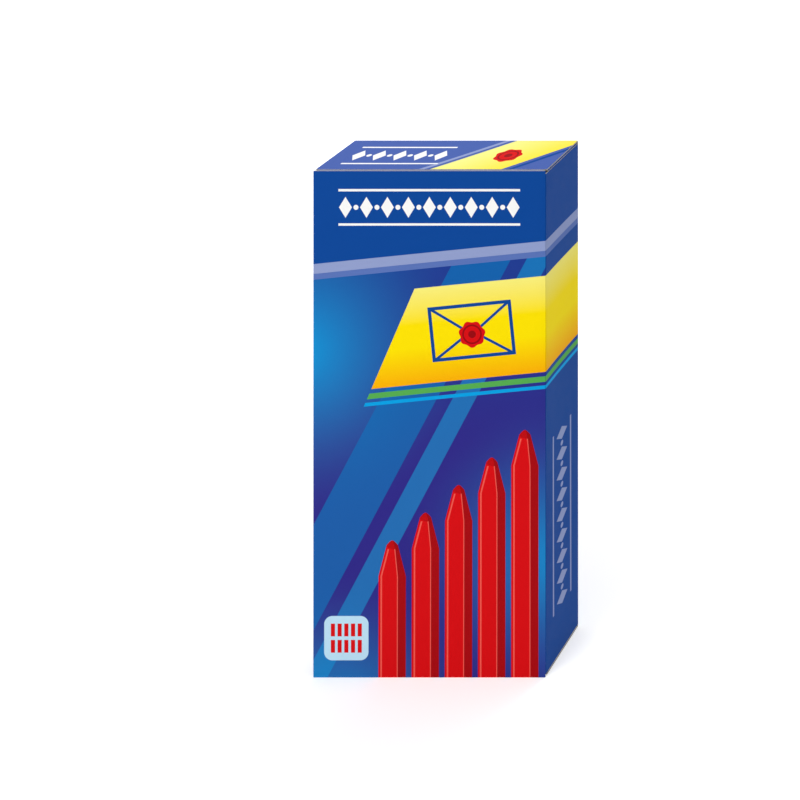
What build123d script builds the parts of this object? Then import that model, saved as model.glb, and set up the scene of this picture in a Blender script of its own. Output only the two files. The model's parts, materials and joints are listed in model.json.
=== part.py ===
"""Tuck-end paperboard carton holding ten cast sealing wax sticks, in millimetres.

The carton stands on its bottom closure. +Z is up, the front panel faces -Y, and the origin is the
middle of the base. Each fold line of the board is a hinge: the flap's folded edge is a half round
that turns on the fold's axis, a hairline away from the panel that carries it.
"""

import os
from math import cos, radians, sin

from build123d import *

# Sealing wax sticks
stick_length = 169.0
stick_width = 15.4
stick_thickness = 9.0
stick_draft = 4.0  # degrees, so that the stick leaves its mould
stick_taper_length = 34.0
stick_tip_width = 6.0
stick_tip_round = 2.4
stick_shoulder_round = 20.0
stick_butt_round = 1.6
stick_nose_length = 9.0  # where the moulded face rolls down to the tip
stick_nose_drop = 3.2
stick_mould_round = 1.2  # edges of the moulded face
stick_pour_round = 0.5  # edges of the poured face
stick_columns = 5
layer_names = ("front", "back")
stick_gap = 0.35  # between sticks, and from the sticks to the walls
stick_seat_gap = 0.15  # under a stick
stick_headroom = 2.75  # over a stick that stands on a dust flap

# Board and folds
board = 0.45
fold_gap = 0.05  # hairline between a folded edge and its panel
flap_gap = 0.15  # between a dust flap and the closure panel over it
corner_radius = 0.35  # outside of the upright folds

# Closures
closure_side_margin = 0.2
closure_front_bevel = 0.3  # room for the tuck flap to fold in
tuck_length = 10.5
tuck_lean = 7.0  # degrees, so that the tuck flap slides clear of the front panel
tuck_side_margin = 0.8
tuck_corner_radius = 7.0
tuck_front_gap = 0.3  # tuck flap's fold to the front panel
tuck_back_gap = 0.4  # tuck flap's free edge to the sticks
dust_length = 12.0
dust_rear_margin = 1.0
dust_front_margin = 0.6
dust_rear_taper = 26.0  # degrees
dust_front_taper = 12.0  # degrees
dust_corner_radius = 2.0

# Glued seam
glue_flap_width = 12.0
glue_flap_end_margin = 2.0
glue_flap_end_slope = 4.0

# Carton size, worked out from what it holds
closure_stack = 2 * board + flap_gap
tuck_reach = tuck_length * sin(radians(tuck_lean)) + board / 2 * cos(radians(tuck_lean))
carton_width = stick_columns * stick_width + (stick_columns + 1) * stick_gap + 2 * board
carton_height = 2 * closure_stack + stick_seat_gap + stick_length + stick_headroom
layers_depth = len(layer_names) * (stick_thickness + stick_gap)
carton_depth = 3.5 * board + tuck_front_gap + tuck_reach + tuck_back_gap + layers_depth

right = carton_width / 2
rear = carton_depth / 2
inner_right = right - board
inner_rear = rear - board
mid_height = Plane.XY.offset(carton_height / 2)

# Fold axes of the top closure
lid_axis_y = rear - board / 2
lid_axis_z = carton_height - board / 2
tuck_axis_y = -inner_rear + tuck_front_gap + board / 2
dust_axis_x = right - board / 2
dust_axis_z = carton_height - board - flap_gap - board / 2

# Where the upright panels end under the closures
back_panel_top = carton_height - board - fold_gap
side_panel_top = carton_height - closure_stack - fold_gap

# First stick's place, at the left of the front layer
first_stick_x = -inner_right + stick_gap + stick_width / 2
first_stick_y = tuck_axis_y + tuck_reach + tuck_back_gap


def save(piece, name):
    """Labels a finished piece and writes its file."""
    piece.part.label = name
    export_step(piece.part, f"parts/{name}.step")


def upright_panel(outline, top):
    """One upright wall: the part of the carton's ring that lies in the outline."""
    bottom = carton_height - top
    with BuildPart() as panel:
        with BuildSketch(Plane.XY.offset(bottom)) as ring:
            Rectangle(carton_width, carton_depth)
            folded_corners = ring.vertices().filter_by(lambda corner: corner.X > 0 or corner.Y < 0)
            fillet(folded_corners, corner_radius)
            Rectangle(2 * inner_right, 2 * inner_rear, mode=Mode.SUBTRACT)
            Polygon(*outline, align=None, mode=Mode.INTERSECT)
        extrude(amount=top - bottom)
    return panel


def glued_flap():
    """Seam flap folded in from the left panel, lying on the inside of the back panel."""
    crease_x = -inner_right
    free_x = crease_x + glue_flap_width
    crease_top = side_panel_top - glue_flap_end_margin
    crease_bottom = carton_height - crease_top
    with BuildPart() as flap:
        with BuildSketch(Plane.XZ.offset(-inner_rear)):
            Polygon(
                (crease_x, crease_bottom),
                (free_x, crease_bottom + glue_flap_end_slope),
                (free_x, crease_top - glue_flap_end_slope),
                (crease_x, crease_top),
                align=None,
            )
        extrude(amount=board)
    return flap


def closure_panel():
    """Top panel, folded at the back panel. Its rear edge is the half round of the fold."""
    front_y = tuck_axis_y + board / 2 + fold_gap
    under_z = carton_height - board
    with BuildPart() as panel:
        with BuildSketch(Plane.YZ):
            with BuildLine():
                Polyline(
                    (lid_axis_y, under_z),
                    (front_y + closure_front_bevel, under_z),
                    (front_y, under_z + closure_front_bevel),
                    (front_y, carton_height),
                    (lid_axis_y, carton_height),
                )
                ThreePointArc((lid_axis_y, carton_height), (rear, lid_axis_z), (lid_axis_y, under_z))
            make_face()
        extrude(amount=right - closure_side_margin, both=True)
    return panel


def tuck_flap():
    """Flap that hangs from the closure panel's front edge, inside the front panel."""
    half_width = inner_right - tuck_side_margin
    fold = Plane((0, tuck_axis_y, lid_axis_z), x_dir=(1, 0, 0), z_dir=(0, -1, 0)).rotated((tuck_lean, 0, 0))
    with BuildPart() as flap:
        with BuildSketch(fold.offset(-board / 2)) as face:
            Rectangle(2 * half_width, tuck_length, align=(Align.CENTER, Align.MAX))
            free_corners = face.vertices().group_by(Axis.Y)[0]
            fillet(free_corners, tuck_corner_radius)
        extrude(amount=board)
        with BuildSketch(Plane.YZ):
            with Locations((tuck_axis_y, lid_axis_z)):
                Circle(board / 2)
        extrude(amount=half_width, both=True)
    return flap


def dust_flap():
    """Right-hand flap under the closure panel, tapered so that it swings clear of it."""
    rear_y = inner_rear - dust_rear_margin
    front_y = tuck_axis_y + board / 2 + dust_front_margin
    with BuildPart() as flap:
        with BuildSketch(Plane.XY.offset(dust_axis_z - board / 2)) as face:
            with BuildLine():
                fold = Line((dust_axis_x, front_y), (dust_axis_x, rear_y))
                rear_edge = PolarLine(
                    fold @ 1, dust_length, 180 + dust_rear_taper, length_mode=LengthMode.HORIZONTAL
                )
                front_edge = PolarLine(
                    fold @ 0, dust_length, 180 - dust_front_taper, length_mode=LengthMode.HORIZONTAL
                )
                Line(rear_edge @ 1, front_edge @ 1)
            make_face()
            free_corners = face.vertices().group_by(Axis.X)[0]
            fillet(free_corners, dust_corner_radius)
        extrude(amount=board)
        with BuildSketch(Plane.XZ.offset(-rear_y)):
            with Locations((dust_axis_x, dust_axis_z)):
                Circle(board / 2)
        extrude(amount=rear_y - front_y)
    return flap


def mirrored(piece, plane):
    """The same piece on the other side of a plane."""
    with BuildPart() as copy:
        mirror(piece.part, about=plane)
    return copy


def wax_stick():
    """Cast stick standing on its butt end, tip up, with its moulded face to the front (-Y)."""
    shoulder_z = stick_length - stick_taper_length
    nose_z = stick_length - stick_nose_length
    left_side = [(-stick_width / 2, 0), (-stick_width / 2, shoulder_z), (-stick_tip_width / 2, stick_length)]
    right_side = [(-x, z) for x, z in reversed(left_side)]
    left_rounds = [stick_butt_round, stick_shoulder_round, stick_tip_round]
    right_rounds = list(reversed(left_rounds))
    with BuildPart() as stick:
        with BuildSketch(Plane.XZ.offset(-stick_thickness)):
            with BuildLine():
                FilletPolyline(*left_side, *right_side, radius=left_rounds + right_rounds, close=True)
            make_face()
        extrude(amount=stick_thickness, taper=stick_draft)
        with BuildSketch(Plane.YZ):
            with BuildLine():
                side = Polyline(
                    (stick_nose_drop, stick_length),
                    (stick_thickness, stick_length),
                    (stick_thickness, 0),
                    (0, 0),
                    (0, nose_z),
                )
                TangentArc(side @ 1, side @ 0, tangent=(0, 1))
            make_face()
        extrude(amount=stick_width, both=True, mode=Mode.INTERSECT)
        poured_edges = stick.faces().sort_by(Axis.Y)[-1].edges()
        fillet(poured_edges, stick_pour_round)
        moulded_edges = stick.faces().sort_by(Axis.Y)[0].edges()
        nose_seam = moulded_edges.sort_by(Axis.Z)[-1]
        fillet(moulded_edges - [nose_seam], stick_mould_round)
    return stick


def main():
    os.makedirs("parts", exist_ok=True)

    front_panel = upright_panel(
        [(-right, -rear), (right, -rear), (inner_right, -inner_rear), (-inner_right, -inner_rear)],
        carton_height,
    )
    right_panel = upright_panel(
        [(right, -rear), (right, rear), (inner_right, inner_rear), (inner_right, -inner_rear)],
        side_panel_top,
    )
    back_panel = upright_panel(
        [(right, rear), (-right, rear), (-right, inner_rear), (inner_right, inner_rear)],
        back_panel_top,
    )
    left_panel = upright_panel(
        [(-right, -rear), (-inner_right, -inner_rear), (-inner_right, inner_rear), (-right, inner_rear)],
        side_panel_top,
    )
    save(front_panel, "front_panel")
    save(right_panel, "right_panel")
    save(back_panel, "back_panel")
    save(left_panel, "left_panel")
    save(glued_flap(), "glue_flap")

    right_dust_flap = dust_flap()
    closure = {
        "lid": closure_panel(),
        "tuck_flap": tuck_flap(),
        "dust_flap_right": right_dust_flap,
        "dust_flap_left": mirrored(right_dust_flap, Plane.YZ),
    }
    for name, piece in closure.items():
        save(piece, f"top_{name}")
        save(mirrored(piece, mid_height), f"bottom_{name}")

    cast_stick = wax_stick()
    for layer, layer_name in enumerate(layer_names):
        for column in range(stick_columns):
            stands_on_dust_flap = column in (0, stick_columns - 1)
            floor_z = closure_stack if stands_on_dust_flap else board
            place = (
                first_stick_x + column * (stick_width + stick_gap),
                first_stick_y + layer * (stick_thickness + stick_gap),
                floor_z + stick_seat_gap,
            )
            with BuildPart() as stick:
                with Locations(place):
                    add(cast_stick.part)
            save(stick, f"wax_stick_{layer_name}_{column + 1}")

    print(f"carton {carton_width:.2f} x {carton_depth:.2f} x {carton_height:.2f} mm")


if __name__ == "__main__":
    main()
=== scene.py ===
"""Printed tuck-end carton of ten sealing wax sticks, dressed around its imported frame.

Each group of like pieces has an operator. The sizes and inks are properties of the scene. Lengths are
metres, and the front panel faces -Y, so the print is laid out on x and z.
"""

import json
from functools import partialmethod, reduce
from math import cos, hypot, pi, radians, sin, tan
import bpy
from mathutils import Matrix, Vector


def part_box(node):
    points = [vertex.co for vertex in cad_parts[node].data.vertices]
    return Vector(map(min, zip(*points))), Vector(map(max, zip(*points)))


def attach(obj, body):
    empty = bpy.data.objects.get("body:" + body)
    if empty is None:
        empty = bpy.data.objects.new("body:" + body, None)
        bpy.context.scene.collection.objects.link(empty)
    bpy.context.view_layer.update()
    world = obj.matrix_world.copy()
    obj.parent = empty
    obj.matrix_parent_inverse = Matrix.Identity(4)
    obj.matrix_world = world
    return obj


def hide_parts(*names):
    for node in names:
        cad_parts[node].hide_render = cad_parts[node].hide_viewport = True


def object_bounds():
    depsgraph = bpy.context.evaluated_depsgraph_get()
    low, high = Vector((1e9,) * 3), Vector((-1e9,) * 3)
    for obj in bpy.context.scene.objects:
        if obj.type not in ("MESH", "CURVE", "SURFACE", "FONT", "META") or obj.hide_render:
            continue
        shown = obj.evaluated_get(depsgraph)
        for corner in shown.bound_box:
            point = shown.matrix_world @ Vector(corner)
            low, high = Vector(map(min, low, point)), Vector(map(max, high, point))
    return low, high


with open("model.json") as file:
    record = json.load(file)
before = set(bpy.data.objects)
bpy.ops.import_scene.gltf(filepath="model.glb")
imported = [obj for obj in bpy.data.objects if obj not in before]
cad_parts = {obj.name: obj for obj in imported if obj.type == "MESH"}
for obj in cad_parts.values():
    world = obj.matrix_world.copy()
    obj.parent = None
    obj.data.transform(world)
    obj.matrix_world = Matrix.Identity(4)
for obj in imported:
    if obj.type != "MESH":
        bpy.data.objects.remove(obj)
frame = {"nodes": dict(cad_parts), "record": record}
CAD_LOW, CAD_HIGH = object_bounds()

from types import SimpleNamespace

import bmesh
import bpy
from bpy.props import FloatProperty, FloatVectorProperty, IntProperty, PointerProperty
from mathutils import Color, Matrix, Vector

bl_info = {
    "name": "Wax Stick Carton",
    "version": (1, 0, 0),
    "blender": (4, 5, 0),
    "location": "View3D > Sidebar > Carton",
    "description": "Builds a printed tuck-end carton that holds ten sealing wax sticks",
    "category": "Object",
}

MM = 0.001

# The carton's size and pieces, from the frame
RIGHT, REAR, HEIGHT = CAD_HIGH
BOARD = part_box("glue_flap")[1].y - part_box("glue_flap")[0].y
CLOSURE_ENDS = ("top", "bottom")
STICK_NODES = sorted(name for name in frame["nodes"] if name.startswith("wax_stick"))

# Mesh fineness
CORNER_STEPS = 4
PANEL_COLUMNS = 24
PANEL_ROWS = 40
SHARP_ANGLE = radians(35)
MERGE_DISTANCE = 0.001 * MM

# The photograph's frame and where the front panel stands in it, in pixels
PICTURE_PIXELS = 800
FRONT_CENTRE_PIXEL = (429.25, 424.25)
FRONT_HEIGHT_PIXELS = 506.5

# Print
INK_EDGE = 0.12 * MM  # a printed shape's edge fades over this width
LETTER_SEAL_DROP = 1.2 * MM  # the seal on a letter, below the letter's middle
HEADER_ROW_Z = 161.5 * MM
PANEL_ROW_REACH = 31.2 * MM  # from the middle of a row of lozenges to its end
# Each glow's x, z and radius in millimetres, and its strength
FRONT_GLOWS = ((-44, 112, 62, 0.85), (46, 40, 58, 0.8), (-30, -14, 52, 0.75))
BACK_GLOWS = ((-44, 96, 66, 0.8), (40, -4, 60, 0.75))


def ink(name, red, green, blue, description):
    """A colour property, given as it looks on a screen."""
    shown = (red / 255, green / 255, blue / 255)
    return FloatVectorProperty(
        name=name, description=description, subtype="COLOR_GAMMA", size=3, min=0, max=1, default=shown
    )


def amount(name, value, description, **kind):
    return FloatProperty(name=name, description=description, default=value, **kind)


def size(name, millimetres, description):
    """A length property, with its default in millimetres."""
    return amount(name, millimetres * MM, description, unit="LENGTH")


def angle(name, degrees, description):
    """An angle property, with its default in degrees."""
    return amount(name, radians(degrees), description, subtype="ANGLE")


class CartonInks(bpy.types.PropertyGroup):
    deep_blue: ink("Deep blue", 11, 70, 150, "Header and side panels")
    violet: ink("Violet", 48, 41, 134, "Ground of the front and back")
    mid_blue: ink("Mid blue", 2, 114, 186, "Slanted bars")
    cyan: ink("Cyan", 6, 160, 226, "Glows in the ground")
    # Lid blue is the deep blue painted lighter. It is painted light: it stands in for the light that the
    # lid's top face catches from above.
    lid_blue: ink("Lid blue", 72, 97, 171, "Ground of the top lid")
    lavender: ink("Lavender", 145, 158, 202, "Wide stripe under the header")
    periwinkle: ink("Periwinkle", 90, 115, 181, "Narrow stripe under the header")
    yellow: ink("Yellow", 253, 226, 0, "Sash")
    orange: ink("Orange", 250, 174, 2, "Lower side of the sash")
    pale_yellow: ink("Pale yellow", 248, 244, 145, "Upper side of the sash")
    green: ink("Green", 86, 171, 80, "Stripe under the sash")
    red: ink("Red", 216, 13, 19, "Printed sticks and seal")
    dark_red: ink("Dark red", 150, 8, 16, "Shaded side of the printed sticks")
    rose: ink("Rose", 248, 104, 92, "Glints on the printed sticks")
    pale_blue: ink("Pale blue", 191, 228, 247, "Count badge")
    white: ink("White", 248, 248, 246, "Ornament in the header")


class CartonPrint(bpy.types.PropertyGroup):
    header_level: size("Header level", 146, "Height of its lower edge at the front's middle")
    header_slope: amount("Slope", 0.1, "Rise of the stripes across the front")
    lavender_width: size("Wide stripe", 3.4, "Width of the stripe under the header")
    periwinkle_width: size("Narrow stripe", 2.0, "Width of the second stripe under the header")
    sash_low: size("Sash bottom", 101, "Height of its lower edge at the front's middle")
    sash_high: size("Sash top", 134, "Height of its upper edge at the front's middle")
    sash_front_end: size("Sash end, front", -20, "Where the sash ends on the front panel")
    sash_back_end: size("Sash end, back", 14, "Where the sash ends on the back panel")
    stick_pitch: size("Stick pitch", 11.4, "Distance between the printed sticks")
    first_stick: size("First stick", -18.5, "Left side of the first printed stick's column")
    first_tip: size("First tip", 47, "Height of the lowest printed stick")
    tip_rise: size("Tip rise", 9.5, "Rise from one printed stick to the next")
    stick_half_width: size("Stick half width", 4.7, "Half the width of a printed stick")


class CartonBoard(bpy.types.PropertyGroup):
    wall_bow: size("Wall bow", 0.2, "How far the middle of a wall bows inwards")
    lid_bow: size("Lid bow", 0.08, "How far the middle of a lid bows inwards")
    corner_radius: size("Corner radius", 0.35, "Outside of the upright folds")
    lid_bevel: size("Lid bevel", 0.3, "Creased underside of the lid's front edge")
    tuck_lean: angle("Tuck lean", 7, "Angle between the tuck flap and the front panel")
    tuck_corner_radius: size("Tuck corner", 7, "Rounded free corners of the tuck flap")
    dust_front_taper: angle("Dust flap front taper", 12, "Slant of the dust flap's front edge")
    dust_rear_taper: angle("Dust flap rear taper", 26, "Slant of the dust flap's rear edge")
    dust_corner_radius: size("Dust corner", 2, "Rounded free corners of the dust flaps")
    glue_flap_slope: size("Glue flap slope", 4, "How much the glue flap's ends slope")
    ink_bleed: size("Ink bleed", 3, "How far the print runs over a fold on to a flap")
    raw: ink("Raw board", 214, 206, 190, "Unprinted inside of the board")
    coated: ink("Coated board", 226, 225, 219, "Unprinted outside of the board")
    ply: ink("Cut edge", 176, 172, 168, "Grey core that shows at the cut edges")


class WaxSticks(bpy.types.PropertyGroup):
    draft: angle("Draft", 4, "Slant of the sides, so that a stick leaves its mould")
    taper_length: size("Taper length", 34, "Length of the tapered end")
    tip_width: size("Tip width", 6, "Width of the tip")
    tip_round: size("Tip round", 2.4, "Rounded corners of the tip")
    butt_round: size("Butt round", 1.6, "Rounded corners of the butt end")
    end_round: size("End round", 1.0, "Rounded rims of both ends")
    shoulder_blend: amount("Shoulder blend", 0.05, "How gently the sides turn into the taper")
    nose_length: size("Nose length", 9, "Where the moulded face rolls down to the tip")
    nose_drop: size("Nose drop", 3.2, "How far the moulded face rolls down")
    mould_round: size("Mould round", 1.2, "Edges of the moulded face")
    pour_round: size("Pour round", 0.5, "Edges of the poured face")
    pour_dip: size("Pour dip", 0.22, "Hollow of the poured face, where the wax shrank")
    rows: IntProperty(name="Rows", description="Mesh rows along a stick", default=120, min=20)
    red: ink("Wax red", 200, 12, 18, "Body of the wax")
    dark_red: ink("Wax dark red", 140, 6, 12, "Deeper patches in the wax")


class CartonStage(bpy.types.PropertyGroup):
    eye_right: size("Eye right", 320, "Camera's place, right of the carton's middle")
    eye_front: size("Eye distance", 536, "Camera's distance from the front panel")
    eye_height: size("Eye height", 437, "Camera's height over the floor")
    floor_size: size("Floor size", 6000, "Side of the floor")
    floor: ink("Floor", 236, 236, 236, "Colour of the floor")
    near_glow: amount("Near glow", 0.37, "Brightness added to the floor near the carton")
    far_glow: amount("Far glow", 0.72, "Brightness added to the floor further off")
    glow_start: size("Glow start", 110, "Where the floor starts to brighten")
    glow_run: size("Glow run", 260, "Distance over which the floor brightens")
    world_light: amount("World light", 0.36, "Strength of the even light")
    key_light: amount("Key light", 6.0, "Front left light", unit="POWER")
    top_light: amount("Top light", 4.5, "Light overhead", unit="POWER")
    fill_light: amount("Fill light", 0.8, "Right-hand light", unit="POWER")
    rear_light: amount("Rear light", 3.2, "Light behind", unit="POWER")


# Nodes


def linear(colour):
    """An ink by its name, or a colour as it looks on a screen, in the values that nodes use."""
    if isinstance(colour, str):
        colour = getattr(bpy.context.scene.carton_inks, colour)
    return (*Color(colour).from_srgb_to_scene_linear(), 1.0)


def feed(tree, socket, value):
    """Links a field, a node or an output to a socket, or sets a plain value on it."""
    if isinstance(value, Field):
        value = value.socket
    elif isinstance(value, bpy.types.Node):
        value = value.outputs[0]
    if isinstance(value, bpy.types.NodeSocket):
        tree.links.new(value, socket)
    else:
        socket.default_value = value


def feed_all(tree, node, inputs):
    """Feeds a node's inputs, by name from a dictionary or else in order."""
    pairs = inputs.items() if isinstance(inputs, dict) else enumerate(inputs)
    for key, value in pairs:
        feed(tree, node.inputs[key], value)


def add_node(tree, kind, inputs=(), **settings):
    """A new node, with its settings made and its inputs fed."""
    node = tree.nodes.new(kind)
    for name, value in settings.items():
        setattr(node, name, value)
    feed_all(tree, node, inputs)
    return node


class Field:
    """A value that varies over a surface or mesh. Its arithmetic adds math nodes to its tree."""

    def __init__(self, tree, socket):
        self.tree = tree
        self.socket = socket

    def math(self, operation, *others, clamp=False):
        inputs = (self, *others)
        return field(self.tree, "ShaderNodeMath", inputs, operation=operation, use_clamp=clamp)

    __add__ = partialmethod(math, "ADD")
    __sub__ = partialmethod(math, "SUBTRACT")
    __mul__ = partialmethod(math, "MULTIPLY")
    __truediv__ = partialmethod(math, "DIVIDE")
    __neg__ = partialmethod(math, "MULTIPLY", -1.0)
    __abs__ = partialmethod(math, "ABSOLUTE")


def field(tree, kind, inputs=(), output=0, **settings):
    """A field from an output of a new node."""
    return Field(tree, add_node(tree, kind, inputs, **settings).outputs[output])


def largest(*fields):
    return reduce(lambda first, second: first.math("MAXIMUM", second), fields)


def smallest(*fields):
    return reduce(lambda first, second: first.math("MINIMUM", second), fields)


def ramp(value, start, end):
    """0 up to start, 1 from end on, and an even rise between them."""
    return (value - start).math("DIVIDE", end - start, clamp=True)


def distance(across, up):
    """Distance from the point where both are nought."""
    return (across * across + up * up).math("SQRT")


def from_place(across, up, place):
    """Both measured from a place in millimetres."""
    return across - place[0] * MM, up - place[1] * MM


def tiled(value, pitch):
    """The same value in every cell of a row, nought at the middle of each."""
    return value.math("WRAP", pitch / 2, -pitch / 2)


def inside(gap):
    """Mask of a shape, from the distance to its outline, which is negative inside."""
    return (gap * (-1 / INK_EDGE)).math("ADD", 0.5, clamp=True)


def band(value, low, high):
    """Distance to a strip where the value lies between low and high."""
    return largest(-(value - low), value - high)


def split(position):
    """The x, y and z of a position field."""
    node = add_node(position.tree, "ShaderNodeSeparateXYZ", [position])
    return [Field(position.tree, socket) for socket in node.outputs]


def object_position(tree):
    """The point on the piece, in the frame's own metres."""
    return field(tree, "ShaderNodeTexCoord", output="Object")


def stretched(position, scale):
    """The position with its axes scaled, for streaks and fibres."""
    return field(position.tree, "ShaderNodeMapping", {"Vector": position, "Scale": scale})


def noise(position, scale, detail):
    inputs = {"Vector": position, "Scale": scale, "Detail": detail}
    return field(position.tree, "ShaderNodeTexNoise", inputs)


# Effects that materials share


def draw_board_fibre(position):
    """Relief and mottling of coated paperboard."""
    cloud = noise(position, scale=260.0, detail=3.0)
    fibre = noise(stretched(position, (1.0, 1.0, 0.35)), scale=3200.0, detail=4.0)
    return cloud * 0.6 + fibre * 0.4, cloud


def draw_fold_scuff(position):
    """Mask of worn ink along the carton's folds and corners."""
    wear_reach = 0.4 * MM
    wear_fade = 0.3 * MM
    x, y, z = split(position)
    from_side = -abs(x) + RIGHT
    from_front = -abs(y) + REAR
    from_end = -abs(z - HEIGHT / 2) + HEIGHT / 2
    from_upright = largest(from_side, from_front)
    from_fold = largest(smallest(from_side, from_front), smallest(from_upright, from_end))
    speckle = noise(position, scale=900.0, detail=4.0)
    reach = noise(position, scale=55.0, detail=2.0) * wear_reach
    return [((reach - from_fold) / wear_fade).math("ADD", (speckle - 0.66) * 4.0, clamp=True)]


def draw_header(x, z):
    """Header over a sloping edge, with two stripes under it."""
    plan = bpy.context.scene.carton_print
    drop = x * plan.header_slope + plan.header_level - z
    stripes_end = plan.lavender_width + plan.periwinkle_width
    lavender = inside(band(drop, 0.0, plan.lavender_width))
    periwinkle = inside(band(drop, plan.lavender_width, stripes_end))
    return periwinkle, lavender, inside(drop)


def draw_sash(x, z, end):
    """Slanted sash, two thin stripes under it, and a shade from 0 at its foot to 1."""
    plan = bpy.context.scene.carton_print
    end_slant = 0.45
    rise = z - x * plan.header_slope - plan.sash_low
    depth = plan.sash_high - plan.sash_low
    before_end = end + rise * end_slant - x
    strips = ((0.0, depth), (-3.4 * MM, -1.5 * MM), (-5.8 * MM, -4.6 * MM))
    sash, green, cyan = (inside(largest(band(rise, *strip), before_end)) for strip in strips)
    return sash, green, cyan, ramp(rise, 0.0, depth)


def draw_lozenge_row(across, up, reach):
    """Row of lozenges and dots between two rules."""
    pitch = 7.2 * MM
    half_width = 2.2 * MM
    half_height = 3.6 * MM
    edge_distance = 1.8 * MM  # from a lozenge's middle to its sides, about
    dot_radius = 0.85 * MM
    rule_level = 5.9 * MM
    rule_half_width = 0.4 * MM
    lozenge_share = abs(tiled(across, pitch)) / half_width + abs(up) / half_height
    lozenge = (lozenge_share - 1.0) * edge_distance
    dot = distance(tiled(across + pitch / 2, pitch), up) - dot_radius
    rule = abs(abs(up) - rule_level) - rule_half_width
    return [inside(largest(smallest(lozenge, dot, rule), abs(across) - reach))]


def draw_letter(across, up):
    """Lines of a closed letter, its flap down to the seal."""
    half_width = 14.5 * MM
    half_height = 9.5 * MM
    half_stroke = 0.6 * MM
    half_fold_stroke = 0.48 * MM
    side = abs(across)
    past_edge = largest(side - half_width, abs(up) - half_height)
    border = abs(past_edge + half_stroke) - half_stroke
    flap_drop = half_height + LETTER_SEAL_DROP
    flap_run = hypot(half_width, flap_drop)
    flap_line = side * (flap_drop / flap_run) - (up + LETTER_SEAL_DROP) * (half_width / flap_run)
    fold_run = hypot(half_width, half_height)
    fold_up = (up + half_height) * (half_width / fold_run)
    fold_line = fold_up + (side - half_width) * (half_height / fold_run)
    folds = smallest(abs(flap_line), largest(abs(fold_line), up)) - half_fold_stroke
    return [inside(smallest(border, largest(folds, past_edge)))]


def draw_seal(across, up):
    """Wax seal with an uneven rim: its shape, and a ring and a dot pressed into it."""
    radius = 4.4 * MM
    lobes = 7.0
    lobe_turn = 0.6
    lobe_height = 0.28 * MM
    ring_radius = 3.1 * MM
    ring_half_width = 0.28 * MM
    dot_radius = 1.3 * MM
    turn = up.math("ARCTAN2", across)
    ripple = (turn * lobes + lobe_turn).math("SINE") * lobe_height
    reach = distance(across, up)
    ring = abs(reach - ring_radius) - ring_half_width
    seal = inside(reach - ripple - radius)
    return seal, inside(smallest(ring, reach - dot_radius)) * seal


def draw_badge(across, up):
    """Rounded plate with a small bar for each of the ten sticks."""
    corner = 2.8 * MM
    half_flat = 4.8 * MM
    column = 2.3 * MM
    row = 5.6 * MM
    bar_half_width = 0.72 * MM
    bar_half_height = 2.2 * MM
    over_side = abs(across) - half_flat
    over_top = abs(up) - half_flat
    outside = distance(over_side.math("MAXIMUM", 0.0), over_top.math("MAXIMUM", 0.0))
    plate = inside(outside + largest(over_side, over_top).math("MINIMUM", 0.0) - corner)
    bar_side = abs(tiled(across, column)) - bar_half_width
    bar_end = abs(tiled(up + row / 2, row)) - bar_half_height
    past_rows = largest(abs(across) - 2.5 * column, abs(up) - row)
    return plate, inside(largest(bar_side, bar_end, past_rows)) * plate


def draw_sticks(x, z):
    """Five upright sticks whose tips rise to the right: their shape, shaded side, tips and glints."""
    plan = bpy.context.scene.carton_print
    pitch = plan.stick_pitch
    sticks = 5
    tip_half_width = 1.5 * MM
    taper_slope = 0.26
    tip_round = 1.6 * MM
    ridge_share = 0.38  # of the half width, to the right of the stick's middle
    tip_depth = 3.0 * MM
    shaded_strength = 0.8
    tip_strength = 0.45
    glint_strength = 0.75
    along = x - plan.first_stick
    column = (along / pitch).math("FLOOR")
    across = along - column * pitch - pitch / 2
    below_tip = column * plan.tip_rise + plan.first_tip - z
    taper = (below_tip * taper_slope + tip_half_width).math("MINIMUM", plan.stick_half_width)
    half = taper * ramp(below_tip, 0.0, tip_round).math("SQRT")
    shape = largest(abs(across) - half, -below_tip, band(along, 0.0, sticks * pitch))
    ridge = half * ridge_share
    shaded = largest(ridge - across, shape)
    left_glint = abs(across + half - 0.95 * MM) - 0.26 * MM
    ridge_glint = abs(across - ridge) - 0.16 * MM
    glints = largest(smallest(left_glint, ridge_glint), -(below_tip - tip_depth), shape)
    tip = largest(below_tip - across * 0.35 - tip_depth, shape)
    return (
        inside(shape),
        inside(shaded) * shaded_strength,
        inside(tip) * tip_strength,
        inside(glints) * glint_strength,
    )


# Each effect's inputs, outputs and drawing
EFFECTS = {
    "Board Fibre": (("Position",), ("Relief", "Mottle"), draw_board_fibre),
    "Fold Scuff": (("Position",), ("Scuff",), draw_fold_scuff),
    "Header Stripes": (("X", "Z"), ("Periwinkle", "Lavender", "Header"), draw_header),
    "Yellow Sash": (("X", "Z", "End"), ("Sash", "Green", "Cyan", "Shade"), draw_sash),
    "Lozenge Row": (("Across", "Up", "Reach"), ("Mask",), draw_lozenge_row),
    "Closed Letter": (("Across", "Up"), ("Lines",), draw_letter),
    "Wax Seal": (("Across", "Up"), ("Seal", "Rings"), draw_seal),
    "Count Badge": (("Across", "Up"), ("Plate", "Bars"), draw_badge),
    "Rising Sticks": (("X", "Z"), ("Shape", "Shaded", "Tip", "Glints"), draw_sticks),
}


def effect_group(name):
    """The node group of an effect, built on first use."""
    group = bpy.data.node_groups.get(name)
    if group:
        return group
    inputs, outputs, draw = EFFECTS[name]
    group = bpy.data.node_groups.new(name, "ShaderNodeTree")
    for label in inputs:
        kind = "NodeSocketVector" if label == "Position" else "NodeSocketFloat"
        group.interface.new_socket(label, in_out="INPUT", socket_type=kind)
    for label in outputs:
        group.interface.new_socket(label, in_out="OUTPUT", socket_type="NodeSocketFloat")
    source = group.nodes.new("NodeGroupInput")
    results = draw(*(Field(group, source.outputs[label]) for label in inputs))
    add_node(group, "NodeGroupOutput", results)
    return group


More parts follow.
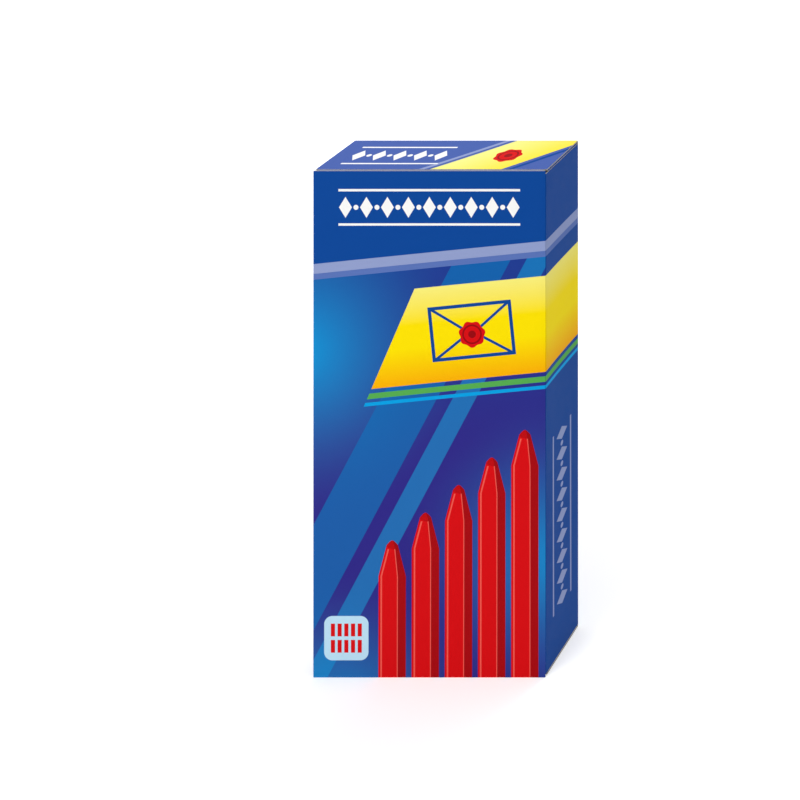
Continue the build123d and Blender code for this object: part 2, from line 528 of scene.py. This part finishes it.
def effect(tree, name, *values):
    """Places an effect in a material and gives its outputs as fields."""
    node = add_node(tree, "ShaderNodeGroup", values, node_tree=effect_group(name))
    return [Field(tree, socket) for socket in node.outputs]


# Print


class Print:
    """Inks laid one over another on a ground, each through a mask."""

    def __init__(self, tree, ground):
        self.tree = tree
        self.colour = linear(ground)

    def lay(self, colour, mask, strength=1.0):
        """Lays an ink, or the colour of another print."""
        if not isinstance(colour, bpy.types.NodeSocket):
            colour = linear(colour)
        if strength < 1.0:
            mask = mask * strength
        node = add_node(self.tree, "ShaderNodeMix", data_type="RGBA")
        sockets = {socket.identifier: socket for socket in (*node.inputs, *node.outputs)}
        feed(self.tree, sockets["Factor_Float"], mask)
        feed(self.tree, sockets["A_Color"], self.colour)
        feed(self.tree, sockets["B_Color"], colour)
        self.colour = sockets["Result_Color"]

    def lay_effect(self, name, places, *colours):
        """Lays an effect's masks one after another."""
        for colour, mask in zip(colours, effect(self.tree, name, *places)):
            self.lay(colour, mask)


def stripe(value, low, high):
    """Mask of a strip between two places in millimetres."""
    return inside(band(value, low * MM, high * MM))


def slanted_bar(x, z, foot, width):
    """Mask of a bar that leans to the right, with sizes in millimetres."""
    lean = radians(28)
    across = (x - foot * MM) * cos(lean) - z * sin(lean)
    return inside(abs(across) - width * MM / 2)


def lay_ground(tree, x, z, glows):
    """Violet ground, deep blue towards the top, with soft glows and a slanted bar."""
    art = Print(tree, "violet")
    art.lay("deep_blue", ramp(z, start=80 * MM, end=190 * MM))
    for *centre, radius, strength in glows:
        reach = distance(*from_place(x, z, centre))
        fade = (reach / (-radius * MM)).math("ADD", 1.0, clamp=True)
        art.lay("cyan", fade * fade, strength)
    art.lay("mid_blue", slanted_bar(x, z, foot=-58, width=17), strength=0.6)
    return art


def lay_stripes(art, x, z):
    art.lay_effect("Header Stripes", (x, z), "periwinkle", "lavender", "deep_blue")


def lay_sash(art, x, z, end):
    """Sash, from pale yellow at its top to orange at its foot, and its stripes."""
    sash, green, cyan, shade = effect(art.tree, "Yellow Sash", x, z, end)
    gold = Print(art.tree, "orange")
    gold.lay("yellow", shade.math("MULTIPLY", 2.6, clamp=True))
    gold.lay("pale_yellow", (shade - 0.62).math("MULTIPLY", 1.9, clamp=True))
    art.lay("cyan", cyan)
    art.lay("green", green)
    art.lay(gold.colour, sash)


def lay_seal(art, across, up):
    art.lay_effect("Wax Seal", (across, up), "red", "dark_red")


def lay_letter(art, line_ink, across, up):
    art.lay_effect("Closed Letter", (across, up), line_ink)
    lay_seal(art, across, up + LETTER_SEAL_DROP)


def lay_badge(art, across, up):
    art.lay_effect("Count Badge", (across, up), "pale_blue", "red")


def front_art(tree, x, y, z):
    """Sash with a letter, over rising sticks and the count badge."""
    plan = bpy.context.scene.carton_print
    art = lay_ground(tree, x, z, FRONT_GLOWS)
    art.lay("cyan", slanted_bar(x, z, foot=-39, width=7), strength=0.4)
    art.lay_effect("Rising Sticks", (x, z), "red", "dark_red", "dark_red", "rose")
    lay_badge(art, *from_place(x, z, (-28.5, 13.5)))
    lay_sash(art, x, z, plan.sash_front_end)
    lean = plan.header_slope
    letter_x, letter_z = from_place(x, z, (14.5, 119))
    lay_letter(art, "deep_blue", letter_x + letter_z * lean, letter_z - letter_x * lean)
    lay_stripes(art, x, z)
    art.lay_effect("Lozenge Row", (x, z - HEADER_ROW_Z, PANEL_ROW_REACH), "white")
    return art


def side_art(tree, x, y, z):
    """Stripes and sash run on from the front, over an upright row of lozenges."""
    row_middle = 48 * MM
    art = Print(tree, "deep_blue")
    lay_sash(art, x, z, bpy.context.scene.carton_print.sash_front_end)
    lay_stripes(art, x, z)
    art.lay_effect("Lozenge Row", (z - row_middle, y, PANEL_ROW_REACH), "lavender")
    return art


def back_art(tree, x, y, z):
    """Tail of the sash, over a large letter."""
    letter_size = 5 / 3  # against the letter on the front
    letter_x, letter_z = from_place(x, z, (-4, 58))
    art = lay_ground(tree, x, z, BACK_GLOWS)
    lay_sash(art, x, z, bpy.context.scene.carton_print.sash_back_end)
    lay_letter(art, "lavender", letter_x / letter_size, letter_z / letter_size)
    lay_stripes(art, x, z)
    art.lay_effect("Lozenge Row", (x, z - HEADER_ROW_Z, PANEL_ROW_REACH), "white")
    return art


def lid_art(tree, x, y, z):
    """Slanted yellow band with a seal, beside a row of lozenges."""
    slant = x - y * 0.9
    row_reach = 16.8 * MM
    gold = Print(tree, "pale_yellow")
    gold.lay("yellow", ramp(slant, start=9 * MM, end=39 * MM))
    # The lid's ground is the deep blue painted lighter, as painted light on the top face.
    art = Print(tree, "lid_blue")
    art.lay("lavender", stripe(slant, low=4.5, high=6.5))
    art.lay(gold.colour, stripe(slant, low=8.5, high=33))
    art.lay("deep_blue", stripe(slant, low=35, high=37))
    lay_seal(art, *from_place(x, y, (21, 0)))
    art.lay_effect("Lozenge Row", (*from_place(x, y, (-17, 0)), row_reach), "white")
    return art


def base_art(tree, x, y, z):
    """Count badge on a plain ground."""
    art = Print(tree, "deep_blue")
    lay_badge(art, x, y)
    return art


def flap_art(tree, x, y, z, edge):
    """Coated flap, with ink that runs over its fold at the carton's top, bottom or side."""
    board = bpy.context.scene.carton_board
    if edge == "side":
        from_fold = -abs(x) + RIGHT
    else:
        from_fold = -z + HEIGHT if edge == "top" else z
    art = Print(tree, board.coated)
    # At the top, the bleed is the lid blue, whose lightness is painted light from the lid's top face.
    bleed_ink = "lid_blue" if edge == "top" else "deep_blue"
    art.lay(bleed_ink, inside(from_fold - board.ink_bleed))
    return art


# Finishes


def get_finish(name, build, *details):
    """A material, built on first use. build draws in its tree and gives the inputs of its shader."""
    material = bpy.data.materials.get(name)
    if material:
        return material
    material = bpy.data.materials.new(name)
    material.use_nodes = True
    tree = material.node_tree
    feed_all(tree, tree.nodes["Principled BSDF"], build(tree, *details))
    return material


def bump(tree, height, depth):
    return add_node(tree, "ShaderNodeBump", {"Height": height, "Distance": depth})


def printed_board(tree, draw, *details):
    """Coated board printed with one panel's art, under a matt varnish."""
    position = object_position(tree)
    art = draw(tree, *split(position), *details)
    relief, mottle = effect(tree, "Board Fibre", position)
    scuff = effect(tree, "Fold Scuff", position)[0]
    art.lay(bpy.context.scene.carton_board.ply, scuff, strength=0.35)
    return {
        "Base Color": art.colour,
        "Roughness": mottle * 0.16 + scuff * 0.25 + 0.34,
        "Specular IOR Level": 0.025,
        "Normal": bump(tree, relief, depth=0.012 * MM),
    }


def plain_board(tree, colour, roughness):
    """Unprinted board: its inside or its cut edge."""
    position = object_position(tree)
    relief, mottle = effect(tree, "Board Fibre", position)
    fleck = noise(stretched(position, (1.0, 1.0, 0.25)), scale=1500.0, detail=2.0)
    tone = Print(tree, colour)
    tone.lay([channel * 0.86 for channel in colour], mottle, strength=0.6)
    tone.lay([channel * 0.7 for channel in colour], (fleck - 0.66).math("MULTIPLY", 6.0, clamp=True))
    return {
        "Base Color": tone.colour,
        "Roughness": mottle * 0.1 + roughness,
        "Specular IOR Level": 0.2,
        "Normal": bump(tree, relief, depth=0.03 * MM),
    }


def cast_wax(tree):
    """Glossy cast wax, with flow streaks and deeper patches."""
    wax = bpy.context.scene.carton_wax
    position = object_position(tree)
    patch = noise(position, scale=90.0, detail=4.0)
    streak = noise(stretched(position, (1.0, 1.0, 0.08)), scale=700.0, detail=3.0)
    pit = noise(position, scale=1400.0, detail=2.0)
    tone = Print(tree, wax.red)
    tone.lay(wax.dark_red, (patch * 0.9 + streak * 0.4 - 0.35).math("MULTIPLY", 0.9, clamp=True))
    return {
        "Base Color": tone.colour,
        "Roughness": patch * 0.2 + streak * 0.14 + 0.12,
        "Subsurface Weight": 0.12,
        "Subsurface Radius": (1.0, 0.15, 0.1),
        "Subsurface Scale": 1.2 * MM,
        "Normal": bump(tree, patch * 0.6 + streak * 0.25 + pit * 0.08, depth=0.12 * MM),
    }


def raw_board():
    return get_finish("raw board", plain_board, bpy.context.scene.carton_board.raw, 0.75)


def cut_edge():
    return get_finish("cut board edge", plain_board, bpy.context.scene.carton_board.ply, 0.8)


# Board pieces


def add_object(name, data=None):
    """A new object in the scene."""
    item = bpy.data.objects.new(name, data)
    bpy.context.scene.collection.objects.link(item)
    return item


def add_piece(name, mesh, node):
    """Adds a finished mesh in place of a CAD node, riding that node's body."""
    piece = add_object(name, mesh)
    body = next(body for body, nodes in frame["record"]["behaviour"]["bodies"].items() if node in nodes)
    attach(piece, body)
    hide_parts(node)


def board_mesh(name, rows, finishes):
    """A folded sheet of board. Each row is a list of pairs: a point outside and the one inside it."""
    outside, inner_side, rim = range(3)
    sheet = bmesh.new()
    grid = [[[sheet.verts.new(point) for point in pair] for pair in row] for row in rows]

    def add_face(corners, finish):
        face = sheet.faces.new(corners)
        face.material_index = finish
        face.smooth = True

    for row, next_row in zip(grid, grid[1:]):
        for square in zip(row, row[1:], next_row[1:], next_row):
            add_face([pair[0] for pair in square], outside)
            add_face([pair[1] for pair in square], inner_side)
    columns = list(zip(*grid))
    for edge in (grid[0], grid[-1], columns[0], columns[-1]):
        for first, second in zip(edge, edge[1:]):
            add_face([first[0], second[0], second[1], first[1]], rim)
    bmesh.ops.remove_doubles(sheet, verts=sheet.verts, dist=MERGE_DISTANCE)
    bmesh.ops.recalc_face_normals(sheet, faces=sheet.faces)
    mesh = bpy.data.meshes.new(name)
    sheet.to_mesh(mesh)
    sheet.free()
    mesh.set_sharp_from_angle(angle=SHARP_ANGLE)
    for finish in finishes:
        mesh.materials.append(finish)
    return mesh


def add_board(prefix, node, rows, finish, draw, *details):
    """Adds a piece of board with art on its outside."""
    finishes = [get_finish(finish, printed_board, draw, *details), raw_board(), cut_edge()]
    add_piece(f"{prefix}_{node}", board_mesh(node, rows, finishes), node)


def spread(low, high, count):
    """Evenly spaced values, both ends among them."""
    return [low + (high - low) * step / (count - 1) for step in range(count)]


def crown(value, low, high):
    """1 halfway between low and high, 0 at both."""
    share = (value - low) / (high - low)
    return 4 * share * (1 - share)


def wall_section(low, high, low_mitred, high_mitred, radius):
    """Section of a wall along its length: (outside place, its drop into the corner, inside place)."""
    turns = [pi / 4 + pi / 4 * step / CORNER_STEPS for step in range(CORNER_STEPS)]
    corner = [(radius - radius * cos(turn), radius - radius * sin(turn)) for turn in turns]
    flat = spread(low + radius * low_mitred, high - radius * high_mitred, PANEL_COLUMNS)
    outside = [(low + inset, drop) for inset, drop in corner if low_mitred]
    outside += [(place, 0.0) for place in flat]
    outside += [(high - inset, drop) for inset, drop in reversed(corner) if high_mitred]
    first = outside[0][0]
    run = outside[-1][0] - first
    inner_low = low + BOARD * low_mitred
    inner_run = high - BOARD * high_mitred - inner_low
    return [(place, drop, inner_low + inner_run * ((place - first) / run)) for place, drop in outside]


def wall_rows(section, bottom, top, along, outwards, reach, bow):
    """Rows of a wall whose outside lies at reach along its outward direction."""
    low = section[0][0]
    high = section[-1][0]

    def point(place, inset, z):
        sag = bow * max(0.0, crown(place, low, high)) * crown(z, bottom, top)
        return along * place + outwards * (reach - inset - sag) + Vector((0, 0, z))

    return [
        [(point(place, drop, z), point(inner, BOARD, z)) for place, drop, inner in section]
        for z in spread(bottom, top, PANEL_ROWS)
    ]


def half_round():
    """Rows round a folded edge, from its tip: (distance before the fold's axis, half thickness)."""
    turns = [pi / 2 * (1 - step / CORNER_STEPS) for step in range(CORNER_STEPS)]
    return [(BOARD / 2 * sin(turn), BOARD / 2 * cos(turn)) for turn in turns]


def flap_profile(length, radius, flat_rows, corner_rows):
    """Rows of a flap: (distance past the fold's axis, half thickness, what a free corner takes off)."""
    profile = [(-before, half, 0.0) for before, half in half_round()]
    flat_length = length - radius
    profile += [(past, BOARD / 2, 0.0) for past in spread(0.0, flat_length, flat_rows)]
    for step in range(1, corner_rows + 1):
        turn = pi / 2 * step / corner_rows
        profile.append((flat_length + radius * sin(turn), BOARD / 2, radius - radius * cos(turn)))
    return profile


def end_up(rows, end):
    """Rows of a top closure's piece, turned over for the bottom closure."""
    if end == "top":
        return rows
    return [[[Vector((p.x, p.y, HEIGHT - p.z)) for p in pair] for pair in row] for row in rows]


class CARTON_OT_walls(bpy.types.Operator):
    """Builds the four printed walls of the sleeve"""

    bl_idname = "carton.walls"
    bl_label = "Walls"

    def execute(self, context):
        board = context.scene.carton_board
        east = Vector((1, 0, 0))
        north = Vector((0, 1, 0))
        walls = (
            ("front_panel", (-RIGHT, RIGHT, True, True), east, -north, REAR, "front", front_art),
            ("back_panel", (-RIGHT, RIGHT, False, True), east, north, REAR, "back", back_art),
            ("right_panel", (-REAR, REAR, True, True), north, east, RIGHT, "side", side_art),
            ("left_panel", (-REAR, REAR - BOARD, True, False), north, -east, RIGHT, "side", side_art),
        )
        for node, edges, along, outwards, reach, face, draw in walls:
            low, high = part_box(node)
            section = wall_section(*edges, board.corner_radius)
            rows = wall_rows(section, low.z, high.z, along, outwards, reach, board.wall_bow)
            add_board("printed", node, rows, f"printed {face}", draw)
        return {"FINISHED"}


class CARTON_OT_glue_flap(bpy.types.Operator):
    """Builds the seam flap inside the back wall"""

    bl_idname = "carton.glue_flap"
    bl_label = "Glue Flap"

    def execute(self, context):
        low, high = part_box("glue_flap")
        rows = []
        for x in spread(low.x, high.x, count=8):
            slope = context.scene.carton_board.glue_flap_slope * (x - low.x) / (high.x - low.x)
            heights = spread(low.z + slope, high.z - slope, PANEL_ROWS)
            rows.append([(Vector((x, high.y, z)), Vector((x, low.y, z))) for z in heights])
        mesh = board_mesh("glue_flap", rows, [raw_board(), raw_board(), cut_edge()])
        add_piece("seam_glue_flap", mesh, "glue_flap")
        return {"FINISHED"}


class CARTON_OT_lids(bpy.types.Operator):
    """Builds the two closure panels that fold from the back wall"""

    bl_idname = "carton.lids"
    bl_label = "Lids"

    def execute(self, context):
        board = context.scene.carton_board
        low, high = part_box("top_lid")
        axis_y = high.y - BOARD / 2
        middle_z = high.z - BOARD / 2
        bevel_y = low.y + board.lid_bevel

        def row(y, outer_z, inner_z):
            pairs = []
            for x in spread(low.x, high.x, PANEL_COLUMNS):
                sag = board.lid_bow * crown(x, low.x, high.x) * crown(y, low.y, high.y)
                pairs.append((Vector((x, y, outer_z - sag)), Vector((x, y, inner_z - sag))))
            return pairs

        rows = [row(low.y, high.z, low.z + board.lid_bevel)]
        rows += [row(y, high.z, low.z) for y in spread(bevel_y, axis_y, count=14)[:-1]]
        for before, half in reversed(half_round()):
            rows.append(row(axis_y + before, middle_z + half, middle_z - half))
        for end, draw in zip(CLOSURE_ENDS, (lid_art, base_art)):
            add_board("printed", f"{end}_lid", end_up(rows, end), f"printed {end} lid", draw)
        return {"FINISHED"}


class CARTON_OT_tuck_flaps(bpy.types.Operator):
    """Builds the flaps that tuck in behind the front wall"""

    bl_idname = "carton.tuck_flaps"
    bl_label = "Tuck Flaps"

    def execute(self, context):
        board = context.scene.carton_board
        lean = board.tuck_lean
        low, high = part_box("top_tuck_flap")
        axis = Vector((0, low.y + BOARD / 2, high.z - BOARD / 2))
        downwards = Vector((0, sin(lean), -cos(lean)))
        outwards = Vector((0, -cos(lean), -sin(lean)))
        length = (axis.z - low.z - BOARD / 2 * sin(lean)) / cos(lean)
        profile = flap_profile(length, board.tuck_corner_radius, flat_rows=6, corner_rows=10)
        rows = []
        for down, half, inset in profile:
            pairs = []
            for x in spread(inset - high.x, high.x - inset, PANEL_COLUMNS):
                middle = axis + downwards * down + Vector((x, 0, 0))
                pairs.append((middle + outwards * half, middle - outwards * half))
            rows.append(pairs)
        for end in CLOSURE_ENDS:
            finish = f"{end} tuck flap board"
            add_board("board", f"{end}_tuck_flap", end_up(rows, end), finish, flap_art, end)
        return {"FINISHED"}


class CARTON_OT_dust_flaps(bpy.types.Operator):
    """Builds the four flaps that fold from the side walls, under the lids"""

    bl_idname = "carton.dust_flaps"
    bl_label = "Dust Flaps"

    def execute(self, context):
        board = context.scene.carton_board
        low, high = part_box("top_dust_flap_right")
        axis_x = high.x - BOARD / 2
        middle_z = (low.z + high.z) / 2
        profile = flap_profile(axis_x - low.x, board.dust_corner_radius, flat_rows=8, corner_rows=8)

        def row(side, inwards, half, inset):
            x = side * (axis_x - inwards)
            tapered = max(0.0, inwards)
            front_y = low.y + tapered * tan(board.dust_front_taper) + inset
            rear_y = high.y - tapered * tan(board.dust_rear_taper) - inset
            pairs = []
            for y in spread(front_y, rear_y, count=12):
                pairs.append((Vector((x, y, middle_z + half)), Vector((x, y, middle_z - half))))
            return pairs

        for side, word in ((1, "right"), (-1, "left")):
            rows = [row(side, *step) for step in profile]
            for end in CLOSURE_ENDS:
                node = f"{end}_dust_flap_{word}"
                add_board("board", node, end_up(rows, end), "dust flap board", flap_art, "side")
        return {"FINISHED"}


# Cast sticks

STICK_BOX = ("length", "width", "thickness")
STICK_SHAPE = tuple(key for key in WaxSticks.__annotations__ if key not in ("rows", "red", "dark_red"))


def socket_label(key):
    """A property's name, as the label of the tree's input for it."""
    return key.replace("_", " ").title()


def point_position(tree):
    return field(tree, "GeometryNodeInputPosition")


def end_narrowing(from_end, radius):
    """What a rounded end takes off each side, at a distance from that end."""
    within = (-from_end + radius).math("MAXIMUM", 0.0)
    return radius - (radius * radius - within * within).math("MAXIMUM", 0.0).math("SQRT")


def swept_section(tree, stick, rows):
    """A stick's section with its rounded edges, swept straight up its length."""
    is_poured = split(point_position(tree))[1].math("GREATER_THAN", 0.0)
    edge_round = is_poured * (stick.pour_round - stick.mould_round) + stick.mould_round
    sides = {"Width": stick.width, "Height": stick.thickness}
    section = add_node(tree, "GeometryNodeCurvePrimitiveQuadrilateral", sides)
    edges = {"Curve": section, "Radius": edge_round, "Count": 6}
    rounded = add_node(tree, "GeometryNodeFilletCurve", edges, mode="POLY")
    divided = add_node(tree, "GeometryNodeSubdivideCurve", {"Curve": rounded, "Cuts": 2})
    spine_end = add_node(tree, "ShaderNodeCombineXYZ", {"Z": stick.length})
    spine = add_node(tree, "GeometryNodeCurvePrimitiveLine", {"End": spine_end})
    stations = add_node(tree, "GeometryNodeResampleCurve", {"Curve": spine, "Count": rows})
    return add_node(tree, "GeometryNodeCurveToMesh", {"Curve": stations, "Profile Curve": divided})


def shaped_point(tree, stick, place, seed):
    """Where a point of the swept section comes to lie on the finished stick."""
    x, y, even_z = split(point_position(tree))
    turn = (even_z / stick.length * pi).math("COSINE")  # rows crowd together towards both ends
    z = (-turn + 1.0) * stick.length * 0.5
    from_tip = stick.length - z
    taper_share = (from_tip / stick.taper_length).math("MINIMUM", 4.0)
    tapered = taper_share * (stick.width - stick.tip_width) + stick.tip_width
    width_share = (tapered / stick.width).math("SMOOTH_MIN", 1.0, stick.shoulder_blend)
    from_poured = stick.thickness * 0.5 - y
    drafted = width_share * stick.width * 0.5 - from_poured * stick.draft.math("TANGENT")
    tip_cut = end_narrowing(from_tip, stick.tip_round)
    butt_cut = end_narrowing(z, stick.butt_round)
    rim_cut = end_narrowing(from_tip, stick.end_round) + end_narrowing(z, stick.end_round)
    half_width = drafted - tip_cut - butt_cut - rim_cut
    across = x / (stick.width * 0.5)

    over_nose = (stick.nose_length - from_tip).math("MAXIMUM", 0.0)
    nose_radius = (stick.nose_length.math("POWER", 2.0) / stick.nose_drop + stick.nose_drop) * 0.5
    nose_fall = nose_radius - (nose_radius * nose_radius - over_nose * over_nose).math("SQRT")
    moulded_share = from_poured / stick.thickness
    poured_share = -moulded_share + 1.0
    hollow = -(across * across) + 1.0
    waves = {"W": seed, "Scale": 60.0, "Detail": 1.0}
    uneven = field(tree, "ShaderNodeTexNoise", waves, noise_dimensions="4D")
    dip = hollow * poured_share.math("POWER", 8.0) * stick.pour_dip * uneven
    middle_y = nose_fall * 0.5
    rim_share = -(rim_cut / (stick.thickness * 0.5)) + 1.0
    from_middle = (y + moulded_share * nose_fall - dip - middle_y) * rim_share

    before_pole = (turn * turn).math("LESS_THAN", 0.9999999)  # 0 in the first and last row, which close up
    shaped_x = across * half_width * before_pole
    shaped_y = from_middle * before_pole + middle_y
    shaped = add_node(tree, "ShaderNodeCombineXYZ", (shaped_x, shaped_y, z))
    return add_node(tree, "ShaderNodeVectorMath", (shaped, place), operation="ADD")


def stick_tree():
    """Geometry nodes that sweep a drafted section up a stick and shape its two ends."""
    tree = bpy.data.node_groups.get("Cast Stick")
    if tree:
        return tree
    tree = bpy.data.node_groups.new("Cast Stick", "GeometryNodeTree")
    tree.interface.new_socket("Geometry", in_out="OUTPUT", socket_type="NodeSocketGeometry")
    kinds = {socket_label(key): "Float" for key in STICK_BOX + STICK_SHAPE}
    kinds |= {"Rows": "Int", "Place": "Vector", "Seed": "Float", "Wax": "Material"}
    for label, kind in kinds.items():
        tree.interface.new_socket(label, in_out="INPUT", socket_type=f"NodeSocket{kind}")
    given = tree.nodes.new("NodeGroupInput").outputs
    stick = SimpleNamespace()
    for key in STICK_BOX + STICK_SHAPE:
        setattr(stick, key, Field(tree, given[socket_label(key)]))

    swept = swept_section(tree, stick, given["Rows"])
    point = shaped_point(tree, stick, given["Place"], given["Seed"])
    shaped = add_node(tree, "GeometryNodeSetPosition", {"Geometry": swept, "Position": point})
    merged = {"Geometry": shaped, "Distance": MERGE_DISTANCE}
    closed = add_node(tree, "GeometryNodeMergeByDistance", merged)
    smooth = add_node(tree, "GeometryNodeSetShadeSmooth", {"Geometry": closed})
    realized = add_node(tree, "GeometryNodeRealizeInstances", {"Geometry": smooth})
    cast = add_node(tree, "GeometryNodeSetMaterial", {"Geometry": realized, "Material": given["Wax"]})
    add_node(tree, "NodeGroupOutput", {"Geometry": cast})
    return tree


class CARTON_OT_wax_sticks(bpy.types.Operator):
    """Builds the ten cast sticks"""

    bl_idname = "carton.wax_sticks"
    bl_label = "Wax Sticks"

    def execute(self, context):
        wax = context.scene.carton_wax
        tree = stick_tree()
        inputs = [item for item in tree.interface.items_tree if item.in_out == "INPUT"]
        for seed, node in enumerate(STICK_NODES):
            low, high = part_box(node)
            middle = (low + high) / 2
            values = {socket_label(key): getattr(wax, key) for key in STICK_SHAPE}
            values |= {
                "Length": high.z - low.z,
                "Width": high.x - low.x,
                "Thickness": high.y - low.y,
                "Rows": wax.rows,
                "Place": (middle.x, middle.y, low.z),
                "Seed": float(seed),
                "Wax": get_finish("cast wax", cast_wax),
            }
            draft = add_object(f"{node}_draft", bpy.data.meshes.new(f"{node}_draft"))
            modifier = draft.modifiers.new("Cast Stick", "NODES")
            modifier.node_group = tree
            for item in inputs:
                modifier[item.identifier] = values[item.name]
            graph = context.evaluated_depsgraph_get()
            mesh = bpy.data.meshes.new_from_object(draft.evaluated_get(graph))
            mesh.name = node
            bpy.data.objects.remove(draft)
            if not mesh.polygons:
                raise RuntimeError(f"the cast stick for {node} came out empty")
            mesh.set_sharp_from_angle(angle=SHARP_ANGLE)
            add_piece(f"cast_{node}", mesh, node)
        return {"FINISHED"}


# Stage


def add_lamp(name, place, target, side, power):
    """Soft square lamp that faces the target."""
    lamp = bpy.data.lights.new(name, "AREA")
    lamp.size = side
    lamp.energy = power
    holder = add_object(name, lamp)
    holder.location = place
    holder.rotation_euler = (target - Vector(place)).to_track_quat("-Z", "Y").to_euler()


def add_camera(stage):
    """Camera with its film parallel to the front panel, which so keeps its right angles in the picture.

    The slanted line of sight is a shear, which the camera gets from the rig that carries it.
    """
    pixel = HEIGHT / FRONT_HEIGHT_PIXELS
    middle = PICTURE_PIXELS / 2
    aim_x = (middle - FRONT_CENTRE_PIXEL[0]) * pixel
    aim_z = HEIGHT / 2 + (FRONT_CENTRE_PIXEL[1] - middle) * pixel
    aim = Vector((aim_x, -REAR, aim_z))
    eye = Vector((stage.eye_right, -REAR - stage.eye_front, stage.eye_height))
    backwards = (eye - aim).normalized()
    data = bpy.data.cameras.new("picture camera")
    data.lens = (eye - aim).length / pixel / PICTURE_PIXELS * data.sensor_width
    camera = add_object("picture camera", data)
    camera.parent = add_object("camera rig")
    columns = ((1, 0, 0, 0), (0, 0, 1, 0), (*backwards, 0), (*eye, 1))  # right, up, backwards, place
    camera.matrix_parent_inverse = Matrix(columns).transposed()
    bpy.context.scene.camera = camera


def seen_or_mirrored(tree):
    """1 where a surface is seen, directly or mirrored, and 0 where it only gives light."""
    path = tree.nodes.new("ShaderNodeLightPath")
    rays = [Field(tree, path.outputs[f"Is {kind} Ray"]) for kind in ("Camera", "Glossy", "Transmission")]
    return largest(*rays)


def studio_floor(tree, stage):
    """Pale matt floor, white beyond the shadow where it is seen, and clear from below."""
    x, y, z = split(object_position(tree))
    far = ramp(distance(x, y), stage.glow_start, stage.glow_start + stage.glow_run)
    glow = far * (stage.far_glow - stage.near_glow) + stage.near_glow
    from_below = field(tree, "ShaderNodeNewGeometry", output="Backfacing")
    return {
        "Base Color": linear(stage.floor),
        "Roughness": 0.9,
        "Specular IOR Level": 0.1,
        "Emission Color": (1, 1, 1, 1),
        "Emission Strength": glow * seen_or_mirrored(tree),
        "Alpha": -from_below + 1.0,
    }


def floor_mesh(stage):
    """Floor with an opening under the carton, so that light from below reaches the bottom closure."""
    mesh = bpy.data.meshes.new("studio_floor")
    turns = ((-1, -1), (1, -1), (1, 1), (-1, 1))
    half = stage.floor_size / 2
    rings = ((half, half), (RIGHT - BOARD, REAR - BOARD))
    corners = [(right * x, rear * y, 0) for right, rear in rings for x, y in turns]
    sides = [(side, (side + 1) % 4, (side + 1) % 4 + 4, side + 4) for side in range(4)]
    mesh.from_pydata(corners, [], sides)
    mesh.materials.append(get_finish("studio floor", studio_floor, stage))
    return mesh


class CARTON_OT_stage(bpy.types.Operator):
    """Builds the floor, the lamps, the world and the camera"""

    bl_idname = "carton.stage"
    bl_label = "Stage"

    def execute(self, context):
        stage = context.scene.carton_stage
        context.scene.view_settings.view_transform = "Standard"
        floor = add_object("studio_floor", floor_mesh(stage))

        world = bpy.data.worlds.new("studio")
        world.use_nodes = True
        tree = world.node_tree
        strength = seen_or_mirrored(tree) * (1.0 - stage.world_light) + stage.world_light
        feed_all(tree, tree.nodes["Background"], {"Color": (1, 1, 1, 1), "Strength": strength})
        context.scene.world = world

        middle = Vector((0, 0, HEIGHT / 2))
        add_lamp("key lamp", (-0.45, -0.9, 0.55), middle, 0.7, stage.key_light)
        add_lamp("top lamp", (0.0, 0.05, 1.0), middle, 0.8, stage.top_light)
        add_lamp("fill lamp", (1.0, -0.1, 0.4), middle, 0.7, stage.fill_light)
        add_lamp("rear lamp", (0.3, 1.0, 0.45), middle, 0.7, stage.rear_light)
        add_camera(stage)
        return {"FINISHED"}


# Add-on

SETTINGS = {
    "carton_inks": CartonInks,
    "carton_print": CartonPrint,
    "carton_board": CartonBoard,
    "carton_wax": WaxSticks,
    "carton_stage": CartonStage,
}
OPERATORS = (
    CARTON_OT_walls,
    CARTON_OT_glue_flap,
    CARTON_OT_lids,
    CARTON_OT_tuck_flaps,
    CARTON_OT_dust_flaps,
    CARTON_OT_wax_sticks,
    CARTON_OT_stage,
)


class CARTON_PT_panel(bpy.types.Panel):
    """Lists the carton's pieces and settings"""

    bl_idname = "CARTON_PT_panel"
    bl_label = "Wax Stick Carton"
    bl_space_type = "VIEW_3D"
    bl_region_type = "UI"
    bl_category = "Carton"

    def draw(self, context):
        for operator in OPERATORS:
            self.layout.operator(operator.bl_idname)
        for name in SETTINGS:
            settings = getattr(context.scene, name)
            box = self.layout.box()
            for key in settings.__annotations__:
                box.prop(settings, key)


CLASSES = (*SETTINGS.values(), *OPERATORS, CARTON_PT_panel)


def register():
    for item in CLASSES:
        bpy.utils.register_class(item)
    for name, group in SETTINGS.items():
        setattr(bpy.types.Scene, name, PointerProperty(type=group))


def unregister():
    for name in SETTINGS:
        delattr(bpy.types.Scene, name)
    for item in reversed(CLASSES):
        bpy.utils.unregister_class(item)


def main():
    register()
    bpy.ops.carton.walls()
    bpy.ops.carton.glue_flap()
    bpy.ops.carton.lids()
    bpy.ops.carton.tuck_flaps()
    bpy.ops.carton.dust_flaps()
    bpy.ops.carton.wax_sticks()
    bpy.ops.carton.stage()


if __name__ == "__main__":
    main()
